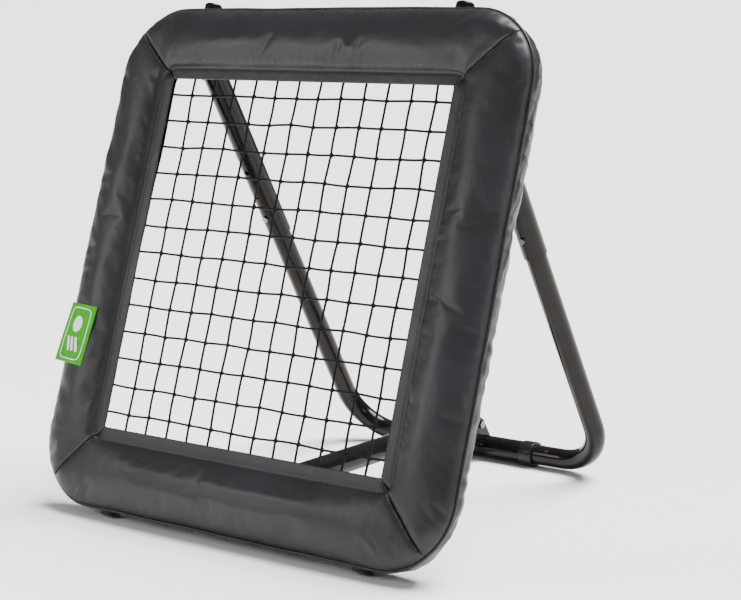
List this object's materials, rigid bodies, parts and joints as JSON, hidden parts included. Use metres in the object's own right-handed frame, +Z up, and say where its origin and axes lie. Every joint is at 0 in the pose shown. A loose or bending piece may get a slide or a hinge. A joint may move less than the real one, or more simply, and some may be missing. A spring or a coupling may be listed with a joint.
{
  "type": "pitch back rebounder",
  "caption": "Padded square frame with a knotted net that leans back on a folding leg bow, its lean set by a telescopic ground spacer.",
  "frame": {"origin": "on the floor, at the middle of the object's footprint at rest", "axes": "+Z up; -Y is the side that the ball comes from; +X is the right side seen from there"},
  "size_m": [0.853, 0.7107, 0.8247],
  "materials": {
    "black_paint": "gloss",
    "zinc": "satin",
    "cover_cloth": "satin",
    "foam": "matte",
    "net_cord": "matte",
    "elastic": "matte",
    "tag_cloth": "satin",
    "foot_rubber": "matte",
    "black_plastic": "satin"
  },
  "bodies": {
    "base": {"spacer_outer_tube": "black_paint", "front_saddle": "black_paint", "spacer_guide_bush": "black_plastic", "saddle_bolts": "zinc", "saddle_nuts": "zinc", "lock_housing": "black_paint", "lock_spring": "zinc"},
    "lock": {"lock_knob": "black_plastic"},
    "slider": {"spacer_inner_tube": "black_paint", "rear_bracket": "black_paint", "bracket_bolts": "zinc", "bracket_nuts": "zinc", "ground_bar_sleeve": "black_paint", "sleeve_collar_left": "black_plastic", "sleeve_collar_right": "black_plastic"},
    "legs": {"leg_lower_left": "black_paint", "leg_lower_right": "black_paint", "leg_upper_left": "black_paint", "leg_upper_right": "black_paint", "ground_bar_joiner": "black_paint", "leg_screws": "zinc", "leg_nuts": "zinc", "bar_buttons": "zinc", "hook_bracket_left": "black_paint", "hook_bracket_right": "black_paint", "hook_bolts": "zinc", "hook_nuts": "zinc"},
    "net_frame": {"frame_tube_top": "black_paint", "frame_tube_bottom": "black_paint", "frame_tube_left": "black_paint", "frame_tube_right": "black_paint", "frame_joint_sleeves": "black_paint", "frame_screws": "zinc", "foot_left": "foot_rubber", "foot_right": "foot_rubber", "top_cap_left": "black_plastic", "top_cap_right": "black_plastic", "foot_studs": "zinc", "top_cap_studs": "zinc", "cover_top": "cover_cloth", "cover_bottom": "cover_cloth", "cover_left": "cover_cloth", "cover_right": "cover_cloth", "foam_top": "foam", "foam_bottom": "foam", "foam_left": "foam", "foam_right": "foam", "cover_piping": "cover_cloth", "side_tag": "tag_cloth", "net": "net_cord", "net_border_rope": "net_cord", "net_loops": "elastic"}
  },
  "joints": [
    {"name": "spacer_slide", "type": "slide", "parent": "base", "child": "slider", "axis": [0, 1, 0], "range_m": [0, 0.495]},
    {"name": "frame_tilt", "type": "hinge", "parent": "base", "child": "net_frame", "pos_m": [0, -0.30527, 0.05938], "axis": [-1, 0, 0], "range_deg": [0, 25.1]},
    {"name": "leg_swing", "type": "hinge", "parent": "slider", "child": "legs", "pos_m": [0, 0.33095, 0.022], "axis": [1, 0, 0], "range_deg": [0, 18.6]},
    {"name": "lock_pull", "type": "slide", "parent": "base", "child": "lock", "axis": [0, 0, 1], "range_m": [0, 0.005], "stiffness_N_per_m": 800, "deforming": ["lock_spring"]}
  ],
  "couplings": [
    {"joint": "frame_tilt", "follows": "spacer_slide", "rad_per_m": 0.882},
    {"joint": "leg_swing", "follows": "spacer_slide", "rad_per_m": 0.652}
  ]
}
